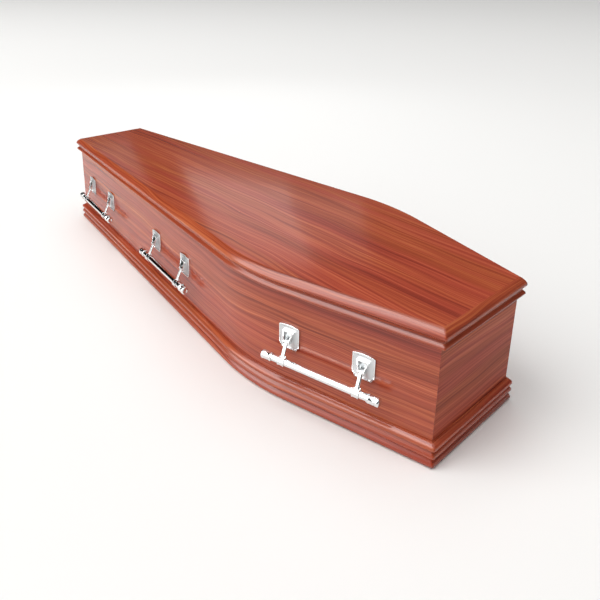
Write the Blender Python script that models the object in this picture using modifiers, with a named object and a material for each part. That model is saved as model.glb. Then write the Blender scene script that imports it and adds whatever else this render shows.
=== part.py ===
"""A shouldered wooden coffin: an empty box of bent boards with reeded plinth mouldings, a loose lid
with a moulded skirt, and six swinging bar handles. Metres, +Z up, head towards +X, floor at z = 0."""

import math

import bmesh
import bpy
from mathutils import Matrix, Vector

# The box. Its plan is that of the walls' outer faces
BOX_LENGTH = 1.880
FOOT_WIDTH = 0.286
SHOULDER_WIDTH = 0.596  # between the two points where the straight runs would meet
HEAD_WIDTH = 0.338
SHOULDER_FROM_HEAD = 0.509
BEND_RADIUS = 0.660
BEND_STEPS = 14
WALL_HEIGHT = 0.3485
WALL_THICKNESS = 0.016
BASE_THICKNESS = 0.018

# The lid: a board with a rounded rim, and a mitred skirt under it that laps over the walls
LID_THICKNESS = 0.020
LID_OVERHANG = 0.0165
LID_RIM_RADIUS = 0.015
LID_RIM_STEPS = 5
SKIRT_DEPTH = 0.0300
SKIRT_CLEARANCE = 0.002
SKIRT_GROOVE_DROP = 0.0150  # from the skirt's top down to its groove
SKIRT_GROOVE_INSET = 0.0055
SKIRT_BEAD_INSET = 0.0008
PILOT_HOLE_RADIUS = 0.0016
PILOT_HOLE_DEPTH = 0.008
PILOT_HOLE_FROM_FOOT = 1.088
PILOT_HOLE_OFF_CENTRE = -0.115

# The plinth moulding round the foot of the box: three reeds, each from a valley to a rounded tip
PLINTH_HEIGHT = 0.066
PLINTH_REACH = 0.0155
PLINTH_VALLEY = 0.0080
PLINTH_TOP_LEDGE = 0.0030
PLINTH_REED_BREAKS = (0.047, 0.024)  # heights of the two valleys
PLINTH_REED_STEPS = 4

# The handles: a bar held by two arms, each pinned between the cheeks of a wall plate
HANDLE_PLACES = {"foot": 0.240, "middle": 0.890, "head": 0.290}  # along the wall from its end corner
PLATE_SPACING = 0.214
PLATE_CENTRE_HEIGHT = 0.1918
PLATE_WIDTH = 0.061
PLATE_HEIGHT = 0.066
PLATE_PEAK = 0.004
PLATE_THICKNESS = 0.0042
PLATE_BORDER = 0.0045
PLATE_FIELD_DEPTH = 0.0012
PLATE_CLIP_WIDTH = 0.009
PLATE_CLIP_HEIGHT = 0.012
LUG_TOP_WIDTH = 0.034
LUG_TOP_RISE = 0.0055
LUG_ABOVE_PIVOT = 0.0275
LUG_BELOW_PIVOT = 0.0060
CHEEK_THICKNESS = 0.0030
PIVOT_REACH = 0.0140
PIVOT_DROP = 0.0068  # below the plate's centre
PIN_RADIUS = 0.0022
PIN_CLEARANCE = 0.0004
EYE_RADIUS = 0.0058
ARM_TOP_WIDTH = 0.0110
ARM_BOTTOM_WIDTH = 0.0140
ARM_THICKNESS = 0.0060
BAR_REACH = 0.0340
BAR_HEIGHT = 0.1387
BAR_RADIUS = 0.0090
BAR_OVERHANG = 0.0290  # from the arm's middle to the end of the bar
COLLAR_RADIUS = 0.0122
COLLAR_WIDTH = 0.0190
CAP_LENGTH = 0.0340
CAP_NECK_LENGTH = 0.0020
CAP_NECK_RADIUS = 0.0106
CAP_RADIUS = 0.0126
CAP_EDGE_RADIUS = 0.0035
ROUND_SIDES = 12

GAP = 0.0003  # between pieces that touch
OVERSHOOT = 0.002  # how far a cutter runs past what it cuts, and a joined shape into its neighbour

SIDE_POINTS = BEND_STEPS + 3
RIGHT_FOOT = 0
RIGHT_HEAD = SIDE_POINTS - 1
LEFT_HEAD = SIDE_POINTS
LEFT_FOOT = 2 * SIDE_POINTS - 1
RUNS = {
    "right": list(range(RIGHT_FOOT, RIGHT_HEAD + 1)),
    "head": [RIGHT_HEAD, LEFT_HEAD],
    "left": list(range(LEFT_HEAD, LEFT_FOOT + 1)),
    "foot": [LEFT_FOOT, RIGHT_FOOT],
}


def side_corners():
    """Plan points of the right wall's foot end, shoulder and head end, on its outer face."""
    half = BOX_LENGTH / 2
    foot = Vector((-half, -FOOT_WIDTH / 2))
    shoulder = Vector((half - SHOULDER_FROM_HEAD, -SHOULDER_WIDTH / 2))
    head = Vector((half, -HEAD_WIDTH / 2))
    return foot, shoulder, head


def right_side():
    """The right wall's outer line in plan, from foot to head, with the shoulder as an arc."""
    foot, shoulder, head = side_corners()
    to_foot = (foot - shoulder).normalized()
    to_head = (head - shoulder).normalized()
    half_turn = (math.pi - to_foot.angle(to_head)) / 2
    centre = shoulder + (to_foot + to_head).normalized() * BEND_RADIUS / math.cos(half_turn)
    spoke = shoulder + to_foot * BEND_RADIUS * math.tan(half_turn) - centre
    arc = []
    for step in range(BEND_STEPS + 1):
        turn = Matrix.Rotation(2 * half_turn * step / BEND_STEPS, 2)
        arc.append(centre + turn @ spoke)
    return [foot, *arc, head]


def outline(outset):
    """The box's closed plan, anticlockwise from the right foot corner, moved out by outset."""
    right = right_side()
    left = [Vector((point.x, -point.y)) for point in reversed(right)]
    ring = right + left
    moved = []
    for place, point in enumerate(ring):
        before = (point - ring[place - 1]).normalized()
        after = (ring[(place + 1) % len(ring)] - point).normalized()
        normal_before = Vector((before.y, -before.x))
        normal_after = Vector((after.y, -after.x))
        reach = (normal_before + normal_after) / (1 + normal_before.dot(normal_after))
        moved.append(point + reach * outset)
    return moved


def material(name, colour, roughness, metallic=0.0):
    made = bpy.data.materials.new(name)
    made.use_nodes = True
    shader = made.node_tree.nodes["Principled BSDF"]
    shader.inputs["Base Color"].default_value = (*colour, 1.0)
    shader.inputs["Roughness"].default_value = roughness
    shader.inputs["Metallic"].default_value = metallic
    made.diffuse_color = (*colour, 1.0)
    return made


def collection(name):
    made = bpy.data.collections.new(name)
    bpy.context.scene.collection.children.link(made)
    return made


def mesh_from(shape, name, smooth_angle=None):
    """Turns a bmesh into a mesh, its faces pointing out; smooth_angle shades its round parts smooth."""
    bmesh.ops.recalc_face_normals(shape, faces=shape.faces)
    mesh = bpy.data.meshes.new(name)
    shape.to_mesh(mesh)
    shape.free()
    if smooth_angle is not None:
        mesh.shade_smooth()
        mesh.set_sharp_from_angle(angle=math.radians(smooth_angle))
    return mesh


def place(name, mesh, finish, group, parent=None):
    """Adds an object with this mesh and finish to a collection."""
    made = bpy.data.objects.new(name, mesh)
    if not mesh.materials:
        mesh.materials.append(finish)
    group.objects.link(made)
    made.parent = parent
    return made


def helper(name, mesh):
    """Adds an object that only cuts or joins others."""
    made = bpy.data.objects.new(name, mesh)
    cutters.objects.link(made)
    made.hide_render = True
    made.display_type = "WIRE"
    return made


def boolean(target, tool, operation):
    modifier = target.modifiers.new(operation.title(), "BOOLEAN")
    modifier.operation = operation
    modifier.solver = "EXACT"
    modifier.object = tool


def settled(source, name, smooth_angle):
    """The mesh of a helper with its modifiers carried out, to be shared by like pieces."""
    bpy.context.view_layer.update()
    graph = bpy.context.evaluated_depsgraph_get()
    mesh = bpy.data.meshes.new_from_object(source.evaluated_get(graph))
    mesh.name = name
    mesh.shade_smooth()
    mesh.set_sharp_from_angle(angle=math.radians(smooth_angle))
    return mesh


def box_mesh(name, low, high):
    shape = bmesh.new()
    bmesh.ops.create_cube(shape, size=1.0)
    size = Vector(high) - Vector(low)
    middle = (Vector(high) + Vector(low)) / 2
    bmesh.ops.scale(shape, vec=size, verts=shape.verts)
    bmesh.ops.translate(shape, vec=middle, verts=shape.verts)
    return mesh_from(shape, name)


def rod_mesh(name, radius, length, centre=(0, 0, 0), sides=ROUND_SIDES, smooth_angle=40):
    """A cylinder along local X."""
    shape = bmesh.new()
    bmesh.ops.create_cone(
        shape, cap_ends=True, segments=sides, radius1=radius, radius2=radius, depth=length
    )
    bmesh.ops.rotate(shape, matrix=Matrix.Rotation(math.pi / 2, 3, "Y"), verts=shape.verts)
    bmesh.ops.translate(shape, vec=centre, verts=shape.verts)
    return mesh_from(shape, name, smooth_angle)


def mitred_strip(name, run, profile, finish, smooth_angle=None):
    """A wall or moulding along one run of the plan, cut on the mitre at both ends.

    The profile is a closed list of (outset from the wall's outer face, height)."""
    rings = [outline(outset) for outset, height in profile]
    places = RUNS[run]
    ahead = (rings[0][places[1]] - rings[0][places[0]]).normalized()
    back = (rings[0][places[-2]] - rings[0][places[-1]]).normalized()
    cut_back = {places[0]: ahead * GAP, places[-1]: back * GAP}
    shape = bmesh.new()
    sections = []
    for corner in places:
        shift = cut_back.get(corner, Vector((0, 0)))
        section = []
        for ring, (outset, height) in zip(rings, profile):
            point = ring[corner] + shift
            section.append(shape.verts.new((point.x, point.y, height)))
        sections.append(section)
    for near, far in zip(sections, sections[1:]):
        for lower in range(len(profile)):
            upper = (lower + 1) % len(profile)
            shape.faces.new((near[lower], far[lower], far[upper], near[upper]))
    shape.faces.new(sections[0])
    shape.faces.new(reversed(sections[-1]))
    return place(name, mesh_from(shape, name, smooth_angle), finish, coffin)


def rimmed_board(name, rim, finish, smooth_angle=None):
    """A board of the plan's shape; rim lists (outset, height) down its edge."""
    shape = bmesh.new()
    loops = []
    for outset, height in rim:
        loops.append([shape.verts.new((point.x, point.y, height)) for point in outline(outset)])
    count = len(loops[0])
    for above, below in zip(loops, loops[1:]):
        for corner in range(count):
            following = (corner + 1) % count
            shape.faces.new((above[corner], above[following], below[following], below[corner]))
    shape.faces.new(loops[0])
    shape.faces.new(reversed(loops[-1]))
    return place(name, mesh_from(shape, name, smooth_angle), finish, coffin)


def build_box():
    """The base board let in between four walls that are mitred at the corners."""
    inset = -WALL_THICKNESS - GAP
    rimmed_board("base_board", [(inset, BASE_THICKNESS), (inset, 0.0)], chipboard)
    wall = [(0.0, 0.0), (0.0, WALL_HEIGHT), (-WALL_THICKNESS, WALL_HEIGHT), (-WALL_THICKNESS, 0.0)]
    names = {"left": "left_side_panel", "right": "right_side_panel", "head": "head_panel"}
    names["foot"] = "foot_panel"
    for run, name in names.items():
        mitred_strip(name, run, wall, mahogany_foil)


def reed(top, bottom):
    """Profile points of one reed, from the valley above it round its tip towards the one below."""
    points = []
    for step in range(1, PLINTH_REED_STEPS):
        turn = math.pi * step / PLINTH_REED_STEPS
        height = (top + bottom) / 2 + (top - bottom) / 2 * math.cos(turn)
        reach = PLINTH_VALLEY + (PLINTH_REACH - PLINTH_VALLEY) * math.sin(turn)
        points.append((reach, height))
    return points


def build_plinth():
    """Four mitred lengths of reeded moulding round the foot of the walls."""
    upper, lower = PLINTH_REED_BREAKS
    profile = [(GAP, 0.0), (GAP, PLINTH_HEIGHT), (PLINTH_TOP_LEDGE, PLINTH_HEIGHT)]
    crest = (PLINTH_HEIGHT + upper) / 2
    profile += [(PLINTH_REACH, crest), (PLINTH_REACH, crest - (crest - upper) / 2)]
    profile += [(PLINTH_VALLEY, upper)]
    profile += reed(upper, lower)
    profile += [(PLINTH_VALLEY, lower)]
    profile += reed(lower, 0.0)
    profile += [(PLINTH_VALLEY, 0.0)]
    for run in RUNS:
        mitred_strip(f"plinth_moulding_{run}", run, profile, mahogany_foil, smooth_angle=50)


def build_lid():
    """The lid board rests on the walls; its skirt is mitred round them with a little clearance."""
    under = WALL_HEIGHT + GAP
    top = under + LID_THICKNESS
    rim = []
    for step in range(LID_RIM_STEPS + 1):
        turn = math.pi / 2 * step / LID_RIM_STEPS
        outset = LID_OVERHANG - LID_RIM_RADIUS * (1 - math.sin(turn))
        rim.append((outset, top - LID_RIM_RADIUS * (1 - math.cos(turn))))
    rim.append((LID_OVERHANG, under))
    board = rimmed_board("lid_board", rim, mahogany_foil, smooth_angle=30)
    hole_place = (PILOT_HOLE_FROM_FOOT - BOX_LENGTH / 2, PILOT_HOLE_OFF_CENTRE, top)
    drill = helper("pilot_drill", rod_mesh("pilot_drill", PILOT_HOLE_RADIUS, 2 * PILOT_HOLE_DEPTH, sides=8))
    drill.location = hole_place
    drill.rotation_euler = (0, math.pi / 2, 0)
    boolean(board, drill, "DIFFERENCE")

    skirt_top = under - GAP
    groove = skirt_top - SKIRT_GROOVE_DROP
    bottom = skirt_top - SKIRT_DEPTH
    bead = groove - bottom
    profile = [
        (SKIRT_CLEARANCE, skirt_top),
        (LID_OVERHANG, skirt_top),
        (LID_OVERHANG - SKIRT_GROOVE_INSET * 0.35, skirt_top - SKIRT_GROOVE_DROP * 0.65),
        (LID_OVERHANG - SKIRT_GROOVE_INSET, groove),
        (LID_OVERHANG - SKIRT_BEAD_INSET * 2, groove - bead * 0.2),
        (LID_OVERHANG - SKIRT_BEAD_INSET, groove - bead * 0.5),
        (LID_OVERHANG - SKIRT_BEAD_INSET * 2, bottom + bead * 0.15),
        (LID_OVERHANG - SKIRT_BEAD_INSET * 4, bottom),
        (SKIRT_CLEARANCE, bottom),
    ]
    for run in RUNS:
        mitred_strip(f"lid_moulding_{run}", run, profile, mahogany_foil, smooth_angle=35)


def plate_outline():
    """Corners of a wall plate seen from the front: a low peak on top, the bottom corners clipped."""
    half = PLATE_WIDTH / 2
    top = PLATE_HEIGHT / 2
    right = [(half, -top + PLATE_CLIP_HEIGHT), (half, top), (half * 0.45, top + PLATE_PEAK * 0.8)]
    left = [(-x, z) for x, z in reversed(right)]
    clip = half - PLATE_CLIP_WIDTH
    return [(clip, -top), *right, (0.0, top + PLATE_PEAK), *left, (-clip, -top)]


def plate_mesh():
    """A cast plate with a raised border, and two cheeks in a V that carry the arm's pin."""
    shape = bmesh.new()
    corners = [shape.verts.new((x, GAP, z)) for x, z in plate_outline()]
    back = shape.faces.new(corners)
    front = bmesh.ops.extrude_face_region(shape, geom=[back])["geom"]
    front_verts = [item for item in front if isinstance(item, bmesh.types.BMVert)]
    front_face = [item for item in front if isinstance(item, bmesh.types.BMFace)]
    bmesh.ops.translate(shape, vec=(0, PLATE_THICKNESS, 0), verts=front_verts)
    bmesh.ops.inset_region(shape, faces=front_face, thickness=PLATE_BORDER)
    bmesh.ops.inset_region(
        shape, faces=front_face, thickness=PLATE_FIELD_DEPTH, depth=-PLATE_FIELD_DEPTH
    )
    body = helper("plate_blank", mesh_from(shape, "plate_blank"))

    root = PLATE_THICKNESS - PLATE_FIELD_DEPTH - OVERSHOOT / 2
    slot = ARM_TOP_WIDTH / 2 + PIN_CLEARANCE
    crown = PIVOT_REACH + EYE_RADIUS
    for side in (-1, 1):
        cheek = bmesh.new()
        foot_in = side * slot
        foot_out = side * (slot + CHEEK_THICKNESS)
        head_in = side * (LUG_TOP_WIDTH / 2 - CHEEK_THICKNESS)
        head_out = side * LUG_TOP_WIDTH / 2
        low = -PIVOT_DROP - LUG_BELOW_PIVOT
        high = -PIVOT_DROP + LUG_ABOVE_PIVOT
        knee = -PIVOT_DROP + EYE_RADIUS
        points = []
        for across in (foot_in, foot_out):
            points += [(across, root, low), (across, crown - EYE_RADIUS / 2, low)]
            points += [(across, crown, -PIVOT_DROP), (across, root, knee), (across, crown, knee)]
        for across in (head_in, head_out):
            points += [(across, root, high), (across, LUG_TOP_RISE + PLATE_THICKNESS, high)]
        for point in points:
            cheek.verts.new(point)
        hull = bmesh.ops.convex_hull(cheek, input=cheek.verts)
        bmesh.ops.delete(cheek, geom=hull["geom_interior"], context="VERTS")
        name = f"plate_cheek_{side}"
        boolean(body, helper(name, mesh_from(cheek, name)), "UNION")
    pin_length = 2 * slot + CHEEK_THICKNESS
    pin_place = (0, PIVOT_REACH, -PIVOT_DROP)
    pin = helper("plate_pin", rod_mesh("plate_pin", PIN_RADIUS, pin_length, pin_place, sides=8))
    boolean(body, pin, "UNION")
    return settled(body, "handle_plate", 35)


def arm_mesh():
    """An arm from its eye, at the local origin, down to the collar that holds the bar."""
    reach = BAR_REACH - PIVOT_REACH
    drop = PLATE_CENTRE_HEIGHT - PIVOT_DROP - BAR_HEIGHT
    eye = helper("arm_eye", rod_mesh("arm_eye", EYE_RADIUS, ARM_TOP_WIDTH))
    shank = bmesh.new()
    bmesh.ops.create_cube(shank, size=1.0)
    length = math.hypot(reach, drop) - COLLAR_RADIUS / 2
    for vert in shank.verts:
        width = ARM_TOP_WIDTH if vert.co.z > 0 else ARM_BOTTOM_WIDTH
        top = 0.0 if vert.co.z > 0 else -length
        inside = 0.98  # keeps the shank's sides just within the eye's and the collar's
        vert.co = Vector((vert.co.x * width * inside, vert.co.y * ARM_THICKNESS, top))
    lean = Matrix.Rotation(math.atan2(reach, drop), 3, "X")
    bmesh.ops.rotate(shank, matrix=lean, verts=shank.verts)
    boolean(eye, helper("arm_shank", mesh_from(shank, "arm_shank")), "UNION")
    bar_place = (0, reach, -drop)
    collar = rod_mesh("arm_collar", COLLAR_RADIUS, COLLAR_WIDTH, bar_place)
    boolean(eye, helper("arm_collar", collar), "UNION")
    pin_hole = rod_mesh("arm_pin_hole", PIN_RADIUS + PIN_CLEARANCE, 2 * ARM_TOP_WIDTH, sides=8)
    boolean(eye, helper("arm_pin_hole", pin_hole), "DIFFERENCE")
    bore = rod_mesh("arm_bore", BAR_RADIUS + GAP, 2 * COLLAR_WIDTH, bar_place)
    boolean(eye, helper("arm_bore", bore), "DIFFERENCE")
    return settled(eye, "handle_arm", 35)


def cap_mesh():
    """A turned end cap on local Z, its open face at the origin: a neck, then a rounded knob."""
    knob = CAP_NECK_LENGTH + 0.0015
    profile = [
        (0.0, CAP_LENGTH),
        (CAP_RADIUS - CAP_EDGE_RADIUS, CAP_LENGTH),
        (CAP_RADIUS, CAP_LENGTH - CAP_EDGE_RADIUS),
        (CAP_RADIUS, knob),
        (CAP_NECK_RADIUS, CAP_NECK_LENGTH),
        (CAP_NECK_RADIUS, 0.0),
        (0.0, 0.0),
    ]
    mesh = bpy.data.meshes.new("cap_profile")
    points = [(radius, 0.0, height) for radius, height in profile]
    mesh.from_pydata(points, [(at, at + 1) for at in range(len(points) - 1)], [])
    turned = helper("cap_profile", mesh)
    screw = turned.modifiers.new("Turn", "SCREW")
    screw.axis = "Z"
    screw.steps = ROUND_SIDES
    screw.render_steps = ROUND_SIDES
    screw.use_merge_vertices = True
    screw.merge_threshold = 0.00001
    screw.use_normal_calculate = True
    return settled(turned, "handle_cap", 35)


def wall_seat(side, spot):
    """An empty on a wall's outer face where a handle is centred, local Y out from the wall."""
    foot, shoulder, head = side_corners()
    start = head if spot == "head" else foot
    along = (shoulder - start).normalized()
    point = start + along * HANDLE_PLACES[spot]
    out = Vector((along.y, -along.x))
    if out.y > 0:
        out = -out
    if side == "left":
        point.y = -point.y
        out.y = -out.y
    seat = bpy.data.objects.new(f"{side}_{spot}_handle_seat", None)
    seat.empty_display_size = 0.03
    coffin.objects.link(seat)
    seat.location = (point.x, point.y, PLATE_CENTRE_HEIGHT)
    seat.rotation_euler = (0, 0, math.atan2(-out.x, out.y))
    return seat


def build_handles():
    """Three handles on each side: plates fixed to the wall; arms, bar and caps swing on the pins."""
    plate = plate_mesh()
    arm = arm_mesh()
    cap = cap_mesh()
    half_span = PLATE_SPACING / 2
    bar_half = half_span + BAR_OVERHANG
    bar = rod_mesh("handle_bar", BAR_RADIUS, 2 * bar_half)
    reach = BAR_REACH - PIVOT_REACH
    drop = PLATE_CENTRE_HEIGHT - PIVOT_DROP - BAR_HEIGHT
    for side in ("left", "right"):
        for spot in HANDLE_PLACES:
            handle = f"{side}_{spot}_handle"
            seat = wall_seat(side, spot)
            pivot = bpy.data.objects.new(f"{handle}_pivot", None)
            pivot.empty_display_size = 0.02
            coffin.objects.link(pivot)
            pivot.parent = seat
            pivot.location = (0, PIVOT_REACH, -PIVOT_DROP)
            place(f"{handle}_bar", bar, chrome, coffin, pivot).location = (0, reach, -drop)
            for number, end in ((1, -1), (2, 1)):
                plate_piece = place(f"{handle}_plate_{number}", plate, chrome, coffin, seat)
                plate_piece.location = (end * half_span, 0, 0)
                arm_piece = place(f"{handle}_arm_{number}", arm, chrome, coffin, pivot)
                arm_piece.location = (end * half_span, 0, 0)
                cap_piece = place(f"{handle}_cap_{number}", cap, chrome, coffin, pivot)
                cap_piece.location = (end * (bar_half + GAP), reach, -drop)
                cap_piece.rotation_euler = (0, end * math.pi / 2, 0)


for leftover in list(bpy.data.objects):
    bpy.data.objects.remove(leftover, do_unlink=True)

coffin = collection("wooden_coffin")
cutters = collection("cutters")
cutters.hide_render = True
mahogany_foil = material("mahogany_foil", (0.36, 0.085, 0.040), 0.28)
chipboard = material("chipboard", (0.42, 0.29, 0.17), 0.75)
chrome = material("chrome_plating", (0.80, 0.81, 0.82), 0.08, metallic=1.0)

build_box()
build_plinth()
build_lid()
build_handles()
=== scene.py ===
import math

import bmesh
import bpy
from mathutils import Matrix, Vector


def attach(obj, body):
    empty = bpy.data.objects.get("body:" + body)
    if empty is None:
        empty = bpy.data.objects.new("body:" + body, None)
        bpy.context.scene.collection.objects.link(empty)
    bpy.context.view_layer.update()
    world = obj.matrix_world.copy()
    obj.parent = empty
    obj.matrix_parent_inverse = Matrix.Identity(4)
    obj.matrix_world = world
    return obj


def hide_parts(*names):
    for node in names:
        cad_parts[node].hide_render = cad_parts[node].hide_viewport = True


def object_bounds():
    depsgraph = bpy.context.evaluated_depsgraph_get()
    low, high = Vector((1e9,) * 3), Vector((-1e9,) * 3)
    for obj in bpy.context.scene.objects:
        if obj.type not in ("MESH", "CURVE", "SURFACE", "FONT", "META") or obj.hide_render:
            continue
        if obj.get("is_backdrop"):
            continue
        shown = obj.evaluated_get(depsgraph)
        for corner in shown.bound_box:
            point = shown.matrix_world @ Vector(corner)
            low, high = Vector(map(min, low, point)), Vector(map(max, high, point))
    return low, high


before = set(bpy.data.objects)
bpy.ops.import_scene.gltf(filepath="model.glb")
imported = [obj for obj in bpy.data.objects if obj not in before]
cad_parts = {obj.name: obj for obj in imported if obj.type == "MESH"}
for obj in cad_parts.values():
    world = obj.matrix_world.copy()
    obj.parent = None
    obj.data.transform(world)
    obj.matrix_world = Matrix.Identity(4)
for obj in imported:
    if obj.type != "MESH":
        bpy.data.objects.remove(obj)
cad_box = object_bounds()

# Base board
# A panel of raw chipboard let in between the walls and stapled through them. Nothing covers it
# below, so the pressed chips show, pale and matt, where the box is turned over.


def linear(colour):
    """An sRGB hex colour as linear RGBA."""
    shares = [int(colour[at:at + 2], 16) / 255 for at in (1, 3, 5)]
    return (*[s / 12.92 if s <= 0.04045 else ((s + 0.055) / 1.055) ** 2.4 for s in shares], 1.0)


def add(tree, kind, values=None, stops=None, **settings):
    """Adds a shader node. values go to its inputs, as numbers or from another node's output."""
    made = tree.nodes.new("ShaderNode" + kind)
    for name, value in settings.items():
        setattr(made, name, value)
    for name, value in (values or {}).items():
        if isinstance(value, bpy.types.NodeSocket):
            tree.links.new(value, made.inputs[name])
        else:
            made.inputs[name].default_value = value
    # A new ramp has two stops already
    for at, (place, colour) in enumerate(stops or ()):
        ramp = made.color_ramp.elements
        stop = ramp[at] if at < 2 else ramp.new(place)
        stop.position = place
        stop.color = linear(colour) if isinstance(colour, str) else (colour, colour, colour, 1.0)
    return made


def finish(name, **values):
    """A material with one Principled shader, and its node tree and that shader."""
    made = bpy.data.materials.new(name)
    made.use_nodes = True
    shader = made.node_tree.nodes["Principled BSDF"]
    for socket, value in values.items():
        shader.inputs[socket.replace("_", " ")].default_value = value
    return made, made.node_tree, shader


# Raw chipboard: flat chips 3 to 12 mm long, pressed with resin and sanded, IOR of wood 1.5
CHIP_LENGTH = 0.009
CHIP_WIDTH = 0.004
DUST_SIZE = 0.002
GRIT_DEPTH = 0.0004

raw_chipboard, tree, shader = finish("raw_chipboard", Roughness=0.78, IOR=1.5)
place = add(tree, "TexCoord").outputs["Object"]
chip_scale = (1 / CHIP_LENGTH, 1 / CHIP_WIDTH, 1 / CHIP_WIDTH)
chip_shape = add(tree, "Mapping", {"Vector": place, "Scale": chip_scale})
chips = add(tree, "TexVoronoi", {"Vector": chip_shape.outputs[0], "Scale": 1.0, "Randomness": 1.0})
dust = add(tree, "TexNoise", {"Vector": place, "Scale": 1 / DUST_SIZE, "Detail": 3.0}).outputs[0]
chip_tone = add(tree, "SeparateColor", {"Color": chips.outputs["Color"]}).outputs[0]
tone = add(tree, "Mix", {0: 0.35, 2: chip_tone, 3: dust}, data_type="FLOAT").outputs[0]
colours = [(0.1, "#8A6238"), (0.9, "#D2B07C"), (0.5, "#B48C58")]
colour = add(tree, "ValToRGB", {"Fac": tone}, stops=colours).outputs[0]
tree.links.new(colour, shader.inputs["Base Color"])
grit = add(tree, "Bump", {"Height": tone, "Distance": GRIT_DEPTH, "Strength": 0.6}).outputs[0]
tree.links.new(grit, shader.inputs["Normal"])
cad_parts["base_board"].data.materials.clear()
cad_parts["base_board"].data.materials.append(raw_chipboard)

# Walls
# Four panels of 16 mm board, mitred and glued at the corners. Each side is one board, bent at the
# shoulder over saw kerfs on its inside. Outside and over the edges they carry the printed foil.
BOX_LENGTH = 1.880
FOOT_WIDTH = 0.286
SHOULDER_WIDTH = 0.596
HEAD_WIDTH = 0.338
SHOULDER_FROM_HEAD = 0.509
BEND_RADIUS = 0.660
BEND_STEPS = 56
WALL_HEIGHT = 0.3485
WALL_THICKNESS = 0.016
EASE_STEPS = 5
MITRE_GAP = 0.0001
FOIL_CREASE = math.radians(32)  # two faces that turn by more meet in a sharp edge

half = BOX_LENGTH / 2
foot_corner = Vector((-half, -FOOT_WIDTH / 2))
shoulder = Vector((half - SHOULDER_FROM_HEAD, -SHOULDER_WIDTH / 2))
head_corner = Vector((half, -HEAD_WIDTH / 2))
to_foot = (foot_corner - shoulder).normalized()
to_head = (head_corner - shoulder).normalized()
half_bend = (math.pi - to_foot.angle(to_head)) / 2
bend_centre = shoulder + (to_foot + to_head).normalized() * BEND_RADIUS / math.cos(half_bend)
spoke = shoulder + to_foot * BEND_RADIUS * math.tan(half_bend) - bend_centre
right_side = [foot_corner]
for step in range(BEND_STEPS + 1):
    right_side.append(bend_centre + Matrix.Rotation(2 * half_bend * step / BEND_STEPS, 2) @ spoke)
right_side.append(head_corner)
left_side = [Vector((p.x, -p.y)) for p in reversed(right_side)]
RUNS = {
    "right": right_side,
    "head": [right_side[-1], left_side[0]],
    "left": left_side,
    "foot": [left_side[-1], right_side[0]],
}
BEFORE = {"right": "foot", "head": "right", "left": "head", "foot": "left"}
AFTER = {run: before for before, run in BEFORE.items()}


def outward(a, b):
    """The way out of the box from the wall that runs from a to b."""
    along = (b - a).normalized()
    return Vector((along.y, -along.x))


def mitre(first, second):
    """The way a corner moves for each metre of outset, from the two walls' normals."""
    return (first + second) / (1 + first.dot(second))


def run_sections(run, outset, ease):
    """The line of one run at this outset, from mitre to mitre: a list of (point, length along).

    Past the walls' own corners, the line turns towards the mitre on a small radius."""
    line = RUNS[run]
    before, after = RUNS[BEFORE[run]], RUNS[AFTER[run]]
    radius = max(0.0, min(ease, outset))
    start = outward(line[0], line[1])
    end = outward(line[-2], line[-1])
    first_ahead = (line[1] - line[0]).normalized()
    last_ahead = (line[-1] - line[-2]).normalized()

    def eased(at, corner, first_way, last_way, inward):
        """The points at one end, round the small radius from one way to the other."""
        middle = at + corner * (outset - radius)
        for step in range(EASE_STEPS):
            way = first_way.slerp(last_way, step / (EASE_STEPS - 1))
            yield middle + way * radius + inward * MITRE_GAP

    made = []
    corner = mitre(outward(before[-2], before[-1]), start)
    for point in eased(line[0], corner, corner.normalized(), start, first_ahead):
        made.append((point, (point - line[0]).dot(first_ahead)))
    length = 0.0
    for at in range(1, len(line) - 1):
        length += (line[at] - line[at - 1]).length
        way = mitre(outward(line[at - 1], line[at]), outward(line[at], line[at + 1]))
        made.append((line[at] + way * outset, length))
    length += (line[-1] - line[-2]).length
    corner = mitre(end, outward(after[0], after[1]))
    for point in eased(line[-1], corner, end, corner.normalized(), -last_ahead):
        made.append((point, length + (point - line[-1]).dot(last_ahead)))
    return made


def softened(points, steps=4):
    """A profile with its corners rounded: (outset, height) or (outset, height, radius)."""
    most = 0.49  # share of a side, so that two roundings on it never meet
    made = []
    for at, corner in enumerate(points):
        here = Vector(corner[:2])
        if len(corner) < 3:
            made.append(here)
            continue
        before = Vector(points[at - 1][:2]) - here
        after = Vector(points[(at + 1) % len(points)][:2]) - here
        reach = min(corner[2], before.length * most, after.length * most)
        start, end = here + before.normalized() * reach, here + after.normalized() * reach
        for step in range(steps + 1):
            t = step / steps
            made.append(start * (1 - t) ** 2 + here * 2 * t * (1 - t) + end * t ** 2)
    return made


def with_grain(shape, name, grain, finishes):
    """Turns a bmesh into an object; grain gives each corner its place in the foil's print."""
    mesh = bpy.data.meshes.new(name)
    shape.to_mesh(mesh)
    values = []
    for face in shape.faces:
        for corner in face.loops:
            values.extend(grain(corner))
    shape.free()
    kept = mesh.attributes.new("grain", "FLOAT_VECTOR", "CORNER")
    kept.data.foreach_set("vector", values)
    mesh.shade_smooth()
    mesh.set_sharp_from_angle(angle=FOIL_CREASE)
    for each in finishes:
        mesh.materials.append(each)
    made = bpy.data.objects.new(name, mesh)
    bpy.context.scene.collection.objects.link(made)
    return made


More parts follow.
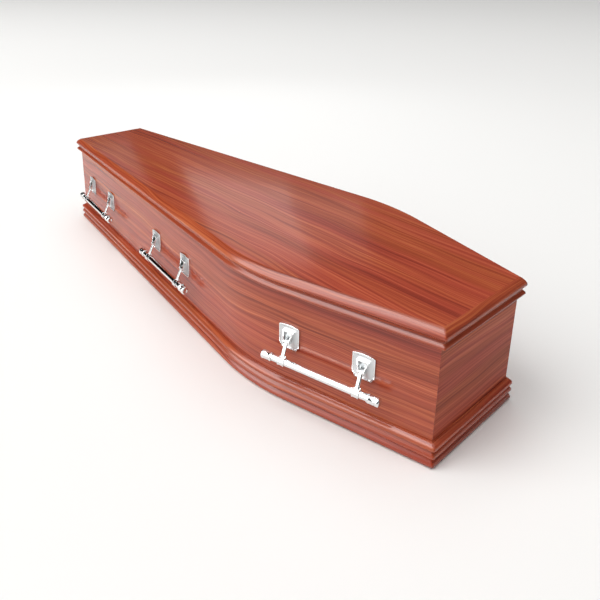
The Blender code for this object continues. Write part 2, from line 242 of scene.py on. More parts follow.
def strip(name, run, profile, ease, finishes, seed, raw=()):
    """A wall or moulding along one run. seed says where in the print its foil was cut.

    raw lists the sides of the profile without foil, from 0 at its first point."""
    lines = [run_sections(run, outset, ease) for outset, height in profile]
    across = [0.0]
    for a, b in zip(profile, profile[1:]):
        across.append(across[-1] + (Vector(b) - Vector(a)).length)
    across.append(across[-1] + (Vector(profile[0]) - Vector(profile[-1])).length)
    shape = bmesh.new()
    place = {}
    sections = []
    for at in range(len(lines[0])):
        section = []
        for number, (line, (outset, height)) in enumerate(zip(lines, profile)):
            point, length = line[at]
            corner = shape.verts.new((point.x, point.y, height))
            place[corner] = (length, number)
            section.append(corner)
        sections.append(section)
    for near, far in zip(sections, sections[1:]):
        for lower in range(len(profile)):
            upper = (lower + 1) % len(profile)
            face = shape.faces.new((near[lower], far[lower], far[upper], near[upper]))
            face.material_index = 1 if lower in raw else 0
    for cap in (shape.faces.new(sections[0]), shape.faces.new(reversed(sections[-1]))):
        cap.material_index = 1 if raw else 0
    bmesh.ops.recalc_face_normals(shape, faces=shape.faces)
    last = len(profile) - 1

    def grain(corner):
        length, number = place[corner.vert]
        # The face that closes the profile ends at its full length round, not back at 0
        closing = number == 0 and any(place[v][1] == last for v in corner.face.verts)
        return (length, across[-1] if closing and len(profile) > 2 else across[number], seed)

    return with_grain(shape, name, grain, finishes)


# Mahogany foil: a printed paper foil pressed on with glue and sealed with semi-gloss lacquer, so
# the grain is colour only and the surface is smooth, with a soft shine. Lacquer's IOR is 1.46
FIGURE_WIDTH = 0.042
STREAK_WIDTH = 0.0085
LINE_WIDTH = 0.0028
RING_TURN = 30.0  # radians that the bands' wave turns over the figure's whole range
WANDER_WIDTH = 0.05
WAVE_LENGTH = 0.060
WAVE_DEPTH = 0.0006
WOOD = ("#66271B", "#8E3F2B", "#A9523A", "#BD6948", "#D48C62")


def mahogany_foil(name, gloss=0.20, range_of_tone=0.14, specular=0.5):
    """The foil with lacquer of this roughness. A wider range_of_tone gives it less contrast."""
    made, tree, shader = finish(name, IOR=1.46)
    shader.inputs["Specular IOR Level"].default_value = specular
    shader.inputs["Coat Weight"].default_value = 0.1
    shader.inputs["Coat Roughness"].default_value = 0.10
    print_place = add(tree, "Attribute", attribute_name="grain").outputs["Vector"]

    def layer(place, along, width, detail, offset=0.0):
        """Noise drawn out along the grain: along counts its turns in a metre of board."""
        values = {"Vector": place, "Location": (0, 0, offset), "Scale": (along, 1 / width, 1)}
        stretched = add(tree, "Mapping", values)
        values = {"Vector": stretched.outputs[0], "Scale": 1.0, "Detail": detail, "Roughness": 0.6}
        return add(tree, "TexNoise", values).outputs[0]

    def blend(share, first, second):
        return add(tree, "Mix", {0: share, 2: first, 3: second}, data_type="FLOAT").outputs[0]

    # The lines wander up to 10 mm sideways over half a metre
    along, across, piece = add(tree, "SeparateXYZ", {"Vector": print_place}).outputs
    wander = layer(print_place, 1.9, 0.15, 2.0)
    sway = {0: wander, 1: WANDER_WIDTH, 2: across}
    sway = add(tree, "Math", sway, operation="MULTIPLY_ADD").outputs[0]
    grain = add(tree, "CombineXYZ", {"X": along, "Y": sway, "Z": piece}).outputs[0]

    figure = layer(grain, 0.8, FIGURE_WIDTH, 3.0)
    ring = add(tree, "Math", {0: figure, 1: RING_TURN}, operation="MULTIPLY").outputs[0]
    ring = add(tree, "Math", {0: ring}, operation="SINE").outputs[0]
    ring = add(tree, "MapRange", {"Value": ring, 1: -1.0, 2: 1.0, 3: 0.4, 4: 0.6}).outputs[0]
    streak = layer(grain, 1.0, STREAK_WIDTH, 4.0, 3.3)
    line = layer(grain, 2.2, LINE_WIDTH, 2.0, 7.1)
    tone = blend(0.65, figure, streak)
    tone = blend(0.32, tone, line)
    tone = blend(0.15, tone, ring)
    low, high = 0.5 - range_of_tone, 0.5 + range_of_tone
    tone = add(tree, "MapRange", {"Value": tone, 1: low, 2: high}).outputs[0]
    dark, deep, middle, warm, light = WOOD
    stops = [(0.0, dark), (1.0, light), (0.26, deep), (0.5, middle), (0.74, warm)]
    colour = add(tree, "ValToRGB", {"Fac": tone}, stops=stops).outputs[0]
    tint = layer(grain, 0.6, 0.05, 1.0, 11.7)
    pink_to_yellow = [(0.35, "#FFDCDD"), (0.65, "#FFF0D4")]
    tint = add(tree, "ValToRGB", {"Fac": tint}, stops=pink_to_yellow).outputs[0]
    colour = add(tree, "Mix", {0: 1.0, 6: colour, 7: tint}, data_type="RGBA", blend_type="MULTIPLY")
    tree.links.new(colour.outputs[2], shader.inputs["Base Color"])

    # The lacquer lies a little thinner over the dark print, and the board under it is never
    # quite flat: long soft waves pull the reflections about
    shine = add(tree, "MapRange", {"Value": tone, 3: gloss + 0.05, 4: gloss - 0.03}).outputs[0]
    tree.links.new(shine, shader.inputs["Roughness"])
    where = add(tree, "TexCoord").outputs["Object"]
    waves = add(tree, "TexNoise", {"Vector": where, "Scale": 1 / WAVE_LENGTH, "Detail": 1.0}).outputs[0]
    skin = add(tree, "Bump", {"Height": waves, "Distance": WAVE_DEPTH, "Strength": 0.2}).outputs[0]
    tree.links.new(skin, shader.inputs["Normal"])
    return made


wall_foil = mahogany_foil("mahogany_foil_walls")
# The end panels carry the same foil as the sides; here its shine is turned down so that they look darker,
# which is painted shade
end_foil_painted_shade = mahogany_foil("mahogany_foil_ends_painted_shade", gloss=0.45, specular=0.12)
wall_profile = [
    (0.0, 0.0),
    (0.0, WALL_HEIGHT),
    (-WALL_THICKNESS, WALL_HEIGHT),
    (-WALL_THICKNESS, 0.0),
]
panels = {
    "right": "right_side_panel",
    "left": "left_side_panel",
    "head": "head_panel",
    "foot": "foot_panel",
}
# Each piece is cut from its own place in the print, so no two show the same figure
for seed, (run, panel) in enumerate(panels.items()):
    # The head and foot panels take the foil whose shine is turned down, as painted shade
    finishes = [end_foil_painted_shade if run in ("head", "foot") else wall_foil, raw_chipboard]
    wall = strip(f"{panel}_foiled", run, wall_profile, 0.0, finishes, seed * 3.7, raw=(2, 3))
    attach(wall, "coffin")
    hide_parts(panel)

# Plinth moulding
# Three reeds planed on an MDF strip, wrapped in the same foil, bent and pinned round the foot of
# the walls and mitred at the corners. A thin flat ledge and a quirk lie above the top reed.
PLINTH_HEIGHT = 0.066
PLINTH_REACH = 0.0155
PLINTH_VALLEY = 0.0080
PLINTH_TOP_LEDGE = 0.0030
PLINTH_REED_BREAKS = (0.047, 0.024)
PLINTH_BACK = 0.0003
PLINTH_EASE = 0.0060
PLINTH_ARRIS = 0.0004
QUIRK_WIDTH = 0.0013
QUIRK_DEPTHS = (0.0018, 0.0020)  # beside the ledge, and at the quirk's outer side
QUIRK_EDGE_WIDTH = 0.0005
QUIRK_EDGE_DROP = 0.0010
TOP_REED_DROP = 0.0075  # from the plinth's top down to where the top reed's face is full
TOP_REED_ROUND = 0.0055
TOP_REED_FOOT = 0.0030
SOFT_EDGE = 0.0006
REED_STEPS = 12
REED_DROOP = 1.5  # 1 has its tip in the middle, and more sets it lower
REED_FULLNESS = 0.85  # less is rounder


def round_face(top, bottom, valley, tip, steps, droop, fullness):
    """A reed's or bead's face, between the valleys above and below it: its tip droops below the middle."""
    points = []
    for step in range(1, steps):
        share = (1 - math.cos(math.pi * step / steps)) / 2
        bulge = math.sin(math.pi * share ** droop) ** fullness
        points.append((valley + (tip - valley) * bulge, top + (bottom - top) * share))
    return points


upper, lower = PLINTH_REED_BREAKS
quirk_inside, quirk_outside = QUIRK_DEPTHS
reed = {"steps": REED_STEPS, "droop": REED_DROOP, "fullness": REED_FULLNESS}
plinth_profile = softened([
    (PLINTH_BACK, 0.0),
    (PLINTH_BACK, PLINTH_HEIGHT),
    (PLINTH_TOP_LEDGE, PLINTH_HEIGHT, PLINTH_ARRIS),
    (PLINTH_TOP_LEDGE, PLINTH_HEIGHT - quirk_inside),
    (PLINTH_TOP_LEDGE + QUIRK_WIDTH, PLINTH_HEIGHT - quirk_outside),
    (PLINTH_TOP_LEDGE + QUIRK_WIDTH + QUIRK_EDGE_WIDTH, PLINTH_HEIGHT - QUIRK_EDGE_DROP, SOFT_EDGE),
    (PLINTH_REACH - PLINTH_ARRIS, PLINTH_HEIGHT - TOP_REED_DROP, TOP_REED_ROUND),
    (PLINTH_REACH, upper + TOP_REED_FOOT, TOP_REED_FOOT),
    (PLINTH_VALLEY, upper, SOFT_EDGE),
    *round_face(upper, lower, PLINTH_VALLEY, PLINTH_REACH, **reed),
    (PLINTH_VALLEY, lower),
    *round_face(lower, 0.0, PLINTH_VALLEY, PLINTH_REACH, **reed),
    (PLINTH_VALLEY, 0.0),
])
plinth_profile = [(point.x, point.y) for point in plinth_profile]
moulding_foil = mahogany_foil("mahogany_foil_mouldings", gloss=0.18, range_of_tone=0.17)
for seed, run in enumerate(RUNS):
    name = f"plinth_{run}_reeds"
    moulding = strip(name, run, plinth_profile, PLINTH_EASE, [moulding_foil], 20 + seed * 2.3)
    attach(moulding, "coffin")
    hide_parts(f"plinth_moulding_{run}")

# Lid board
# One 20 mm board, foiled on top, its rim rounded to a soft slope and wrapped with a strip of foil
# whose grain follows the edge. It lies loose on the walls, with one pilot hole left open in it.
LID_THICKNESS = 0.020
LID_OVERHANG = 0.0165
LID_RIM_WIDTH = 0.018
LID_RIM_DEPTH = 0.0175
LID_RIM_FULLNESS = 1.42  # 2 is a quarter round, 1 a flat bevel
LID_RIM_STEPS = 18
LID_EASE = 0.0045
TOUCH = 0.0003  # between pieces that touch
RIM_STRIP_GAP = 0.2  # waste between the four strips round the rim, along the print
TOP_SEED = 41.0
RIM_SEED = 43.0
PILOT_HOLE_RADIUS = 0.0016
PILOT_HOLE_DEPTH = 0.008
PILOT_HOLE_FROM_FOOT = 1.088
PILOT_HOLE_OFF_CENTRE = -0.115

lid_under = WALL_HEIGHT + TOUCH
lid_top = lid_under + LID_THICKNESS
rim = [(LID_OVERHANG - LID_RIM_WIDTH, lid_top)]
for step in range(1, LID_RIM_STEPS + 1):
    turn = math.pi / 2 * step / LID_RIM_STEPS
    # At the last step the cosine is 0, or a little below it by rounding
    fall = 1 - math.cos(turn) ** (2 / LID_RIM_FULLNESS) if step < LID_RIM_STEPS else 1.0
    outset = LID_OVERHANG - LID_RIM_WIDTH * (1 - math.sin(turn) ** (2 / LID_RIM_FULLNESS))
    rim.append((outset, lid_top - LID_RIM_DEPTH * fall))
rim.append((LID_OVERHANG, lid_under))
shape = bmesh.new()
place = {}
loops = []
for number, (outset, height) in enumerate(rim):
    loop = []
    behind = 0.0
    for run in RUNS:
        line = run_sections(run, outset, LID_EASE)
        for point, length in line:
            corner = shape.verts.new((point.x, point.y, height))
            place[corner] = (behind + length, number)
            loop.append(corner)
        behind += line[-1][1] + RIM_STRIP_GAP
    loops.append(loop)
for above, below in zip(loops, loops[1:]):
    for at in range(len(above)):
        after = (at + 1) % len(above)
        shape.faces.new((above[at], above[after], below[after], below[at]))
top_face = shape.faces.new(loops[0])
under_face = shape.faces.new(reversed(loops[-1]))
under_face.material_index = 1
bmesh.ops.recalc_face_normals(shape, faces=shape.faces)
rim_lengths = [0.0]
for a, b in zip(rim, rim[1:]):
    rim_lengths.append(rim_lengths[-1] + (Vector(b) - Vector(a)).length)


def lid_grain(corner):
    """Along the box on the flat faces, and along the edge on the rim."""
    if corner.face in (top_face, under_face):
        return (corner.vert.co.x, corner.vert.co.y, TOP_SEED)
    length, number = place[corner.vert]
    return (length, rim_lengths[number], RIM_SEED)


lid_foil = mahogany_foil("mahogany_foil_lid", range_of_tone=0.15)
lid = with_grain(shape, "lid_board_foiled", lid_grain, [lid_foil, raw_chipboard])
bpy.ops.mesh.primitive_cylinder_add(
    vertices=24,
    radius=PILOT_HOLE_RADIUS,
    depth=2 * PILOT_HOLE_DEPTH,
    location=(PILOT_HOLE_FROM_FOOT - BOX_LENGTH / 2, PILOT_HOLE_OFF_CENTRE, lid_top),
)
drill = bpy.context.object
drill.data.materials.append(raw_chipboard)
cut = lid.modifiers.new("Pilot hole", "BOOLEAN")
cut.object = drill
cut.solver = "EXACT"
cut.material_mode = "TRANSFER"
bpy.context.view_layer.update()
graph = bpy.context.evaluated_depsgraph_get()
drilled = bpy.data.meshes.new_from_object(lid.evaluated_get(graph))
lid.modifiers.clear()
lid.data = drilled
bpy.data.objects.remove(drill, do_unlink=True)
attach(lid, "coffin")
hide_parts("lid_board")

# Lid moulding
# A foil-wrapped skirt glued and pinned under the lid board's rim and mitred at the corners: a cove
# runs in to a groove, with a rounded bead below. It laps over the walls and keeps the lid in place.
SKIRT_DEPTH = 0.0300
SKIRT_CLEARANCE = 0.002
SKIRT_GROOVE_DROP = 0.0150
SKIRT_GROOVE_INSET = 0.0080
SKIRT_BEAD_INSET = 0.0008
SKIRT_LIP_HEIGHT = 0.0016
SKIRT_LIP_ROUND = 0.0010
COVE_START_INSET = 0.0034
COVE_START_DROP = 0.0040
COVE_START_ROUND = 0.0020
COVE_FOOT_REACH = 0.0003  # how far its foot stands out from the groove
COVE_FOOT_DROP = 0.0095
COVE_FOOT_ROUND = 0.0040
BEAD_STEPS = 14
BEAD_DROOP = 1.3
BEAD_FULLNESS = 0.9

skirt_top = lid_under - TOUCH
groove = skirt_top - SKIRT_GROOVE_DROP
skirt_foot = skirt_top - SKIRT_DEPTH
bead_face = LID_OVERHANG - SKIRT_BEAD_INSET
groove_face = LID_OVERHANG - SKIRT_GROOVE_INSET
bead = {"steps": BEAD_STEPS, "droop": BEAD_DROOP, "fullness": BEAD_FULLNESS}
skirt_profile = softened([
    (SKIRT_CLEARANCE, skirt_top),
    (LID_OVERHANG, skirt_top),
    (LID_OVERHANG, skirt_top - SKIRT_LIP_HEIGHT, SKIRT_LIP_ROUND),
    (LID_OVERHANG - COVE_START_INSET, skirt_top - COVE_START_DROP, COVE_START_ROUND),
    (groove_face + COVE_FOOT_REACH, skirt_top - COVE_FOOT_DROP, COVE_FOOT_ROUND),
    (groove_face, groove),
    *round_face(groove, skirt_foot, groove_face, bead_face, **bead),
    (groove_face, skirt_foot),
    (SKIRT_CLEARANCE, skirt_foot),
], steps=5)
skirt_profile = [(point.x, point.y) for point in skirt_profile]
for seed, run in enumerate(RUNS):
    skirt = strip(f"lid_{run}_skirt", run, skirt_profile, LID_EASE, [moulding_foil], 50 + seed * 2.9)
    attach(skirt, "coffin")
    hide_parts(f"lid_moulding_{run}")

# Handle plates
# Die-cast zinc, polished and chromed: an arched plate with a raised border, and a V-shaped lug whose
# two cheeks carry the arm's pin. Each is bolted through the wall from inside, so no screw shows.
HANDLE_PLACES = {"foot": 0.240, "middle": 0.890, "head": 0.290}  # along the wall from its end corner
PLATE_SPACING = 0.214
PLATE_CENTRE_HEIGHT = 0.1918
PLATE_WIDTH = 0.061
PLATE_HEIGHT = 0.066
PLATE_PEAK = 0.004
PLATE_THICKNESS = 0.0042
PLATE_BORDER = 0.0030
PLATE_FIELD_DEPTH = 0.0012
PLATE_CLIP_WIDTH = 0.009
PLATE_CLIP_HEIGHT = 0.012
PLATE_SHOULDER_DROP = 0.0012  # from the arch's spring down to the corner beside it
PLATE_ARCH_SPAN = 0.97
PLATE_ARCH_STEPS = 12
PLATE_FIELD_SLOPE = 0.0010
PLATE_ARRIS = 0.0005
ARRIS_ANGLE = 28  # degrees: edges sharper than this are rounded over
LUG_TOP_WIDTH = 0.034
LUG_TOP_RISE = 0.0055
LUG_ABOVE_PIVOT = 0.0275
LUG_BELOW_PIVOT = 0.0060
LUG_SUNK = 0.0005
LUG_BAR_HEIGHT = 0.0034
LUG_BAR_INSET = 0.0010
LUG_BAR_SUNK = 0.0020
LUG_BAR_PROUD = 0.0006
CHEEK_THICKNESS = 0.0030
CHEEK_CROWN_ANGLE = 24  # degrees above the pin, where the cheek leaves the round of its eye
EYE_STEPS = 8
PIVOT_REACH = 0.0140
PIVOT_DROP = 0.0068
EYE_RADIUS = 0.0058
ARM_TOP_WIDTH = 0.0110
SIDE_GAP = 0.0004
PIN_RADIUS = 0.0021
PIN_HEAD_RADIUS = 0.0030
PIN_HEAD_FACE_RADIUS = 0.0020
PIN_HEAD_PROUD = 0.0010
PIN_HEAD_EDGE_PROUD = 0.0004
PIN_HEAD_SUNK = 0.0010

# Chrome plating: bright nickel under chromium on a polished casting, a cold mirror with the soft
# unevenness of polishing by hand, about 8 mm across
POLISH_SIZE = 0.008
POLISH_DEPTH = 0.0001
HAZE_SIZE = 0.012
chrome, tree, shader = finish("chrome_plating", Metallic=1.0)
shader.inputs["Base Color"].default_value = linear("#E6E8E8")
place_on = add(tree, "TexCoord").outputs["Object"]
cloud = add(tree, "TexNoise", {"Vector": place_on, "Scale": 1 / HAZE_SIZE, "Detail": 3.0}).outputs[0]
haze = add(tree, "MapRange", {"Value": cloud, 1: 0.3, 2: 0.7, 3: 0.10, 4: 0.18}).outputs[0]
tree.links.new(haze, shader.inputs["Roughness"])
polish = add(tree, "TexNoise", {"Vector": place_on, "Scale": 1 / POLISH_SIZE, "Detail": 1.0}).outputs[0]
waver = add(tree, "Bump", {"Height": polish, "Distance": POLISH_DEPTH, "Strength": 0.15}).outputs[0]
tree.links.new(waver, shader.inputs["Normal"])

# Satin chrome: the plates' recessed fields are brushed, not buffed, before plating. Their colour is also a
# darker grey than the buffed chrome's, which is painted shade in the recess
BRUSH_LENGTH = 0.010
BRUSH_WIDTH = 0.0012
satin_and_shade, tree, shader = finish("satin_chrome_painted_shade", Metallic=1.0)
# A darker grey than the buffed chrome: painted shade on the recessed fields
shader.inputs["Base Color"].default_value = linear("#D2D5D7")
brushed = add(tree, "TexCoord").outputs["Object"]
brush_scale = (1 / BRUSH_LENGTH, 1 / BRUSH_LENGTH, 1 / BRUSH_WIDTH)
brushed = add(tree, "Mapping", {"Vector": brushed, "Scale": brush_scale})
hairs = add(tree, "TexNoise", {"Vector": brushed.outputs[0], "Scale": 1.0, "Detail": 4.0}).outputs[0]
rough = add(tree, "MapRange", {"Value": hairs, 1: 0.3, 2: 0.7, 3: 0.30, 4: 0.42}).outputs[0]
tree.links.new(rough, shader.inputs["Roughness"])


def cast(shape, name, smooth_angle=40, edge=0.0):
    """A chromed mesh from a bmesh, its arrises rounded over by edge. Faces with index 1 take the satin
    chrome with its painted shade.
    """
    bmesh.ops.remove_doubles(shape, verts=shape.verts, dist=1e-6)
    bmesh.ops.recalc_face_normals(shape, faces=shape.faces)
    mesh = bpy.data.meshes.new(name)
    shape.to_mesh(mesh)
    shape.free()
    mesh.materials.append(chrome)
    mesh.materials.append(satin_and_shade)
    if edge:
        holder = bpy.data.objects.new(name, mesh)
        bpy.context.scene.collection.objects.link(holder)
        rounding = holder.modifiers.new("Rounding", "BEVEL")
        rounding.width = edge
        rounding.segments = 3
        rounding.limit_method = "ANGLE"
        rounding.angle_limit = math.radians(ARRIS_ANGLE)
        bpy.context.view_layer.update()
        graph = bpy.context.evaluated_depsgraph_get()
        mesh = bpy.data.meshes.new_from_object(holder.evaluated_get(graph))
        bpy.data.objects.remove(holder, do_unlink=True)
    mesh.shade_smooth()
    mesh.set_sharp_from_angle(angle=math.radians(smooth_angle))
    return mesh


def turned(profile, sides=48, centre=(0.0, 0.0, 0.0)):
    """A bmesh turned about local X from (x, radius) points; a radius of 0 closes it."""
    shape = bmesh.new()
    rings = []
    for x, radius in profile:
        if radius <= 0:
            rings.append([shape.verts.new((x, 0, 0))] * sides)
            continue
        ring = []
        for step in range(sides):
            turn = 2 * math.pi * step / sides
            ring.append(shape.verts.new((x, radius * math.cos(turn), radius * math.sin(turn))))
        rings.append(ring)
    for near, far in zip(rings, rings[1:]):
        for at in range(sides):
            after = (at + 1) % sides
            corners = [near[at], near[after], far[after], far[at]]
            shape.faces.new(list(dict.fromkeys(corners)))
    bmesh.ops.translate(shape, vec=centre, verts=shape.verts)
    return shape


def joined(shapes):
    """Several bmeshes as one."""
    whole = bmesh.new()
    for each in shapes:
        held = bpy.data.meshes.new("held")
        each.to_mesh(held)
        each.free()
        whole.from_mesh(held)
        bpy.data.meshes.remove(held)
    return whole


def plate_shape():
    """The plate alone: clipped lower corners, an arched top and a recessed field. +Y is outwards."""
    half_width, half_height = PLATE_WIDTH / 2, PLATE_HEIGHT / 2
    clip = half_width - PLATE_CLIP_WIDTH
    points = [(clip, -half_height), (half_width, -half_height + PLATE_CLIP_HEIGHT)]
    points.append((half_width, half_height - PLATE_SHOULDER_DROP))
    for step in range(PLATE_ARCH_STEPS + 1):
        share = 1 - 2 * step / PLATE_ARCH_STEPS
        rise = PLATE_PEAK * (1 - share ** 2)
        points.append((half_width * share * PLATE_ARCH_SPAN, half_height + rise))
    points.append((-half_width, half_height - PLATE_SHOULDER_DROP))
    points += [(-half_width, -half_height + PLATE_CLIP_HEIGHT), (-clip, -half_height)]
    shape = bmesh.new()
    back = shape.faces.new([shape.verts.new((x, TOUCH, z)) for x, z in points])
    grown = bmesh.ops.extrude_face_region(shape, geom=[back])["geom"]
    front = [item for item in grown if isinstance(item, bmesh.types.BMFace)]
    corners = [item for item in grown if isinstance(item, bmesh.types.BMVert)]
    bmesh.ops.translate(shape, vec=(0, PLATE_THICKNESS - TOUCH, 0), verts=corners)
    bmesh.ops.recalc_face_normals(shape, faces=shape.faces)
    bmesh.ops.inset_region(shape, faces=front, thickness=PLATE_BORDER, use_even_offset=True)
    bmesh.ops.inset_region(shape, faces=front, thickness=PLATE_FIELD_SLOPE, depth=-PLATE_FIELD_DEPTH)
    for field in front:
        field.material_index = 1
    return shape


def cheek_shape(side):
    """One leg of the V: straight beside the arm's eye, then leaning out to the top bar."""
    root = PLATE_THICKNESS - PLATE_FIELD_DEPTH - LUG_SUNK
    slot = ARM_TOP_WIDTH / 2 + SIDE_GAP
    knee = EYE_RADIUS
    top_reach = PLATE_THICKNESS + LUG_TOP_RISE
    crown_turn = math.radians(CHEEK_CROWN_ANGLE)
    crown = (PIVOT_REACH + EYE_RADIUS * math.cos(crown_turn), EYE_RADIUS * math.sin(crown_turn))
    share = (knee - crown[1]) / (LUG_ABOVE_PIVOT - crown[1])
    knee_reach = crown[0] + (top_reach - crown[0]) * share
    lower = [(root, -LUG_BELOW_PIVOT), (root, knee), (knee_reach, knee)]
    for step in range(EYE_STEPS + 1):
        turn = crown_turn + (-math.pi / 2 - crown_turn) * step / EYE_STEPS
        reach = PIVOT_REACH + EYE_RADIUS * math.cos(turn)
        lower.append((reach, EYE_RADIUS * math.sin(turn)))
    upper = [(root, knee), (root, LUG_ABOVE_PIVOT), (top_reach, LUG_ABOVE_PIVOT), (knee_reach, knee)]
    lean = (LUG_TOP_WIDTH / 2 - CHEEK_THICKNESS - slot) / (LUG_ABOVE_PIVOT - knee)
    parts = []
    for points in (lower, upper):
        shape = bmesh.new()
        rows = []
        for away in (0.0, CHEEK_THICKNESS):
            row = []
            for y, z in points:
                x = slot + away + max(0.0, z - knee) * lean
                row.append(shape.verts.new((side * x, y, z - PIVOT_DROP)))
            rows.append(row)
        shape.faces.new(rows[0])
        shape.faces.new(reversed(rows[1]))
        for at in range(len(points)):
            after = (at + 1) % len(points)
            shape.faces.new((rows[0][at], rows[1][at], rows[1][after], rows[0][after]))
        parts.append(shape)
    return parts


def block_shape(low, high):
    """A plain block between two corners."""
    shape = bmesh.new()
    bmesh.ops.create_cube(shape, size=1.0)
    size = Vector(high) - Vector(low)
    bmesh.ops.scale(shape, vec=size, verts=shape.verts)
    bmesh.ops.translate(shape, vec=(Vector(high) + Vector(low)) / 2, verts=shape.verts)
    return shape


# The bar across the top of the V, and the pin through its cheeks with a riveted head either side
bar_half_width = LUG_TOP_WIDTH / 2 - LUG_BAR_INSET
bar_top = LUG_ABOVE_PIVOT - PIVOT_DROP
bar_low = (-bar_half_width, PLATE_THICKNESS - LUG_BAR_SUNK, bar_top - LUG_BAR_HEIGHT)
bar_high = (bar_half_width, PLATE_THICKNESS + LUG_TOP_RISE + LUG_BAR_PROUD, bar_top)
pin_end = ARM_TOP_WIDTH / 2 + SIDE_GAP + CHEEK_THICKNESS
pin_profile = [
    (-pin_end - PIN_HEAD_PROUD, 0.0),
    (-pin_end - PIN_HEAD_PROUD, PIN_HEAD_FACE_RADIUS),
    (-pin_end - PIN_HEAD_EDGE_PROUD, PIN_HEAD_RADIUS),
    (-pin_end + PIN_HEAD_SUNK, PIN_HEAD_RADIUS),
    (-pin_end + PIN_HEAD_SUNK, PIN_RADIUS),
]
pin_profile += [(-x, radius) for x, radius in reversed(pin_profile)]
plate_mesh = cast(
    joined([
        plate_shape(),
        *cheek_shape(-1),
        *cheek_shape(1),
        block_shape(bar_low, bar_high),
        turned(pin_profile, sides=20, centre=(0, PIVOT_REACH, -PIVOT_DROP)),
    ]),
    "handle_plate_cast",
    edge=PLATE_ARRIS,
)

# Where each handle's middle sits on its wall: X along the wall, Y outwards, Z up
half_span = PLATE_SPACING / 2
seats = {}
for side in ("left", "right"):
    for spot, distance in HANDLE_PLACES.items():
        end = head_corner if spot == "head" else foot_corner
        along = (shoulder - end).normalized()
        point = end + along * distance
        out = Vector((along.y, -along.x))
        out = -out if out.y > 0 else out
        if side == "left":
            point = Vector((point.x, -point.y))
            out = Vector((out.x, -out.y))
        turn = Matrix.Rotation(math.atan2(-out.x, out.y), 4, "Z")
        seats[side, spot] = Matrix.Translation((point.x, point.y, PLATE_CENTRE_HEIGHT)) @ turn


def put(name, mesh, matrix, body, node):
    """A chromed piece in place, riding on its body in place of its CAD node."""
    made = bpy.data.objects.new(name, mesh)
    bpy.context.scene.collection.objects.link(made)
    made.matrix_world = matrix
    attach(made, body)
    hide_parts(node)


for (side, spot), seat in seats.items():
    for number, end in ((1, -1), (2, 1)):
        node = f"{side}_{spot}_handle_plate_{number}"
        there = seat @ Matrix.Translation((end * half_span, 0, 0))
        put(f"{node}_cast", plate_mesh, there, "coffin", node)

# Handle arms
# The same chromed zinc: an eye that turns on the plate's pin, a flat shank that bows out, and a
# collar with two beads through which the bar passes. A small grub screw locks the bar.
BAR_REACH = 0.0340
BAR_HEIGHT = 0.1387
BAR_RADIUS = 0.0090
ARM_BOTTOM_WIDTH = 0.0140
ARM_THICKNESS = 0.0060
EYE_ARRIS = 0.0008
SHANK_STEPS = 8
SHANK_SIDES = 20
SHANK_BOW = 0.0015
SHANK_WAIST = 0.10  # how much narrower its middle is, as a share
SHANK_LENGTH = 0.97  # share of the way to the bar's axis
SHANK_FULL_WIDTH = 0.98  # share of the eye's and collar's width
SHANK_SQUARENESS = 0.45  # 1 is an oval section, 0 a rectangle
COLLAR_RADIUS = 0.0122
COLLAR_WIDTH = 0.0190
COLLAR_ARRIS = 0.0010
COLLAR_BEAD_WIDTH = 0.0032
COLLAR_BEAD_SLOPE = 0.0008
COLLAR_WAIST_DEPTH = 0.0009
GRUB_DEPTH = 0.0016
GRUB_RADIUS = 0.0026
GRUB_FOOT_RADIUS = 0.0018
GRUB_TIP_RADIUS = 0.0014
GRUB_TIP = 0.0022
GRUB_ARRIS = 0.0010
GRUB_INWARDS = 0.0030
GRUB_PROUD = 0.0012

bar_out = BAR_REACH - PIVOT_REACH
bar_drop = PLATE_CENTRE_HEIGHT - PIVOT_DROP - BAR_HEIGHT
eye_end = ARM_TOP_WIDTH / 2
eye = turned([
    (-eye_end, 0.0), (-eye_end, EYE_RADIUS - EYE_ARRIS), (-eye_end + EYE_ARRIS, EYE_RADIUS),
    (eye_end - EYE_ARRIS, EYE_RADIUS), (eye_end, EYE_RADIUS - EYE_ARRIS), (eye_end, 0.0),
], sides=32)
shank = bmesh.new()
slope = Vector((0, bar_out, -bar_drop)).normalized()
across = Vector((0, -slope.z, slope.y))
rows = []
for step in range(SHANK_STEPS + 1):
    share = step / SHANK_STEPS
    swell = math.sin(math.pi * share)
    reach = bar_out * share + SHANK_BOW * swell
    middle = Vector((0, reach, -bar_drop * share * SHANK_LENGTH))
    width = ARM_TOP_WIDTH + (ARM_BOTTOM_WIDTH - ARM_TOP_WIDTH) * share
    half_width = width * (1 - SHANK_WAIST * swell) * SHANK_FULL_WIDTH / 2
    half_thickness = ARM_THICKNESS / 2 * (1 + SHANK_WAIST * (1 - 2 * swell))
    row = []
    for corner in range(SHANK_SIDES):
        turn = 2 * math.pi * corner / SHANK_SIDES
        x = math.copysign(abs(math.cos(turn)) ** SHANK_SQUARENESS, math.cos(turn)) * half_width
        y = math.copysign(abs(math.sin(turn)) ** SHANK_SQUARENESS, math.sin(turn)) * half_thickness
        row.append(shank.verts.new(middle + Vector((x, 0, 0)) + across * y))
    rows.append(row)
for near, far in zip(rows, rows[1:]):
    for at in range(SHANK_SIDES):
        after = (at + 1) % SHANK_SIDES
        shank.faces.new((near[at], near[after], far[after], far[at]))
shank.faces.new(rows[0])
shank.faces.new(reversed(rows[-1]))
collar_end = COLLAR_WIDTH / 2
bore = BAR_RADIUS + TOUCH
bead_end = -collar_end + COLLAR_BEAD_WIDTH
collar_profile = [
    (-collar_end, bore),
    (-collar_end, COLLAR_RADIUS - COLLAR_ARRIS),
    (-collar_end + COLLAR_ARRIS, COLLAR_RADIUS),
    (bead_end, COLLAR_RADIUS),
    (bead_end + COLLAR_BEAD_SLOPE, COLLAR_RADIUS - COLLAR_WAIST_DEPTH),
]
collar_profile += [(-x, radius) for x, radius in reversed(collar_profile)]
collar_profile.append(collar_profile[0])
collar = turned(collar_profile, centre=(0, bar_out, -bar_drop))
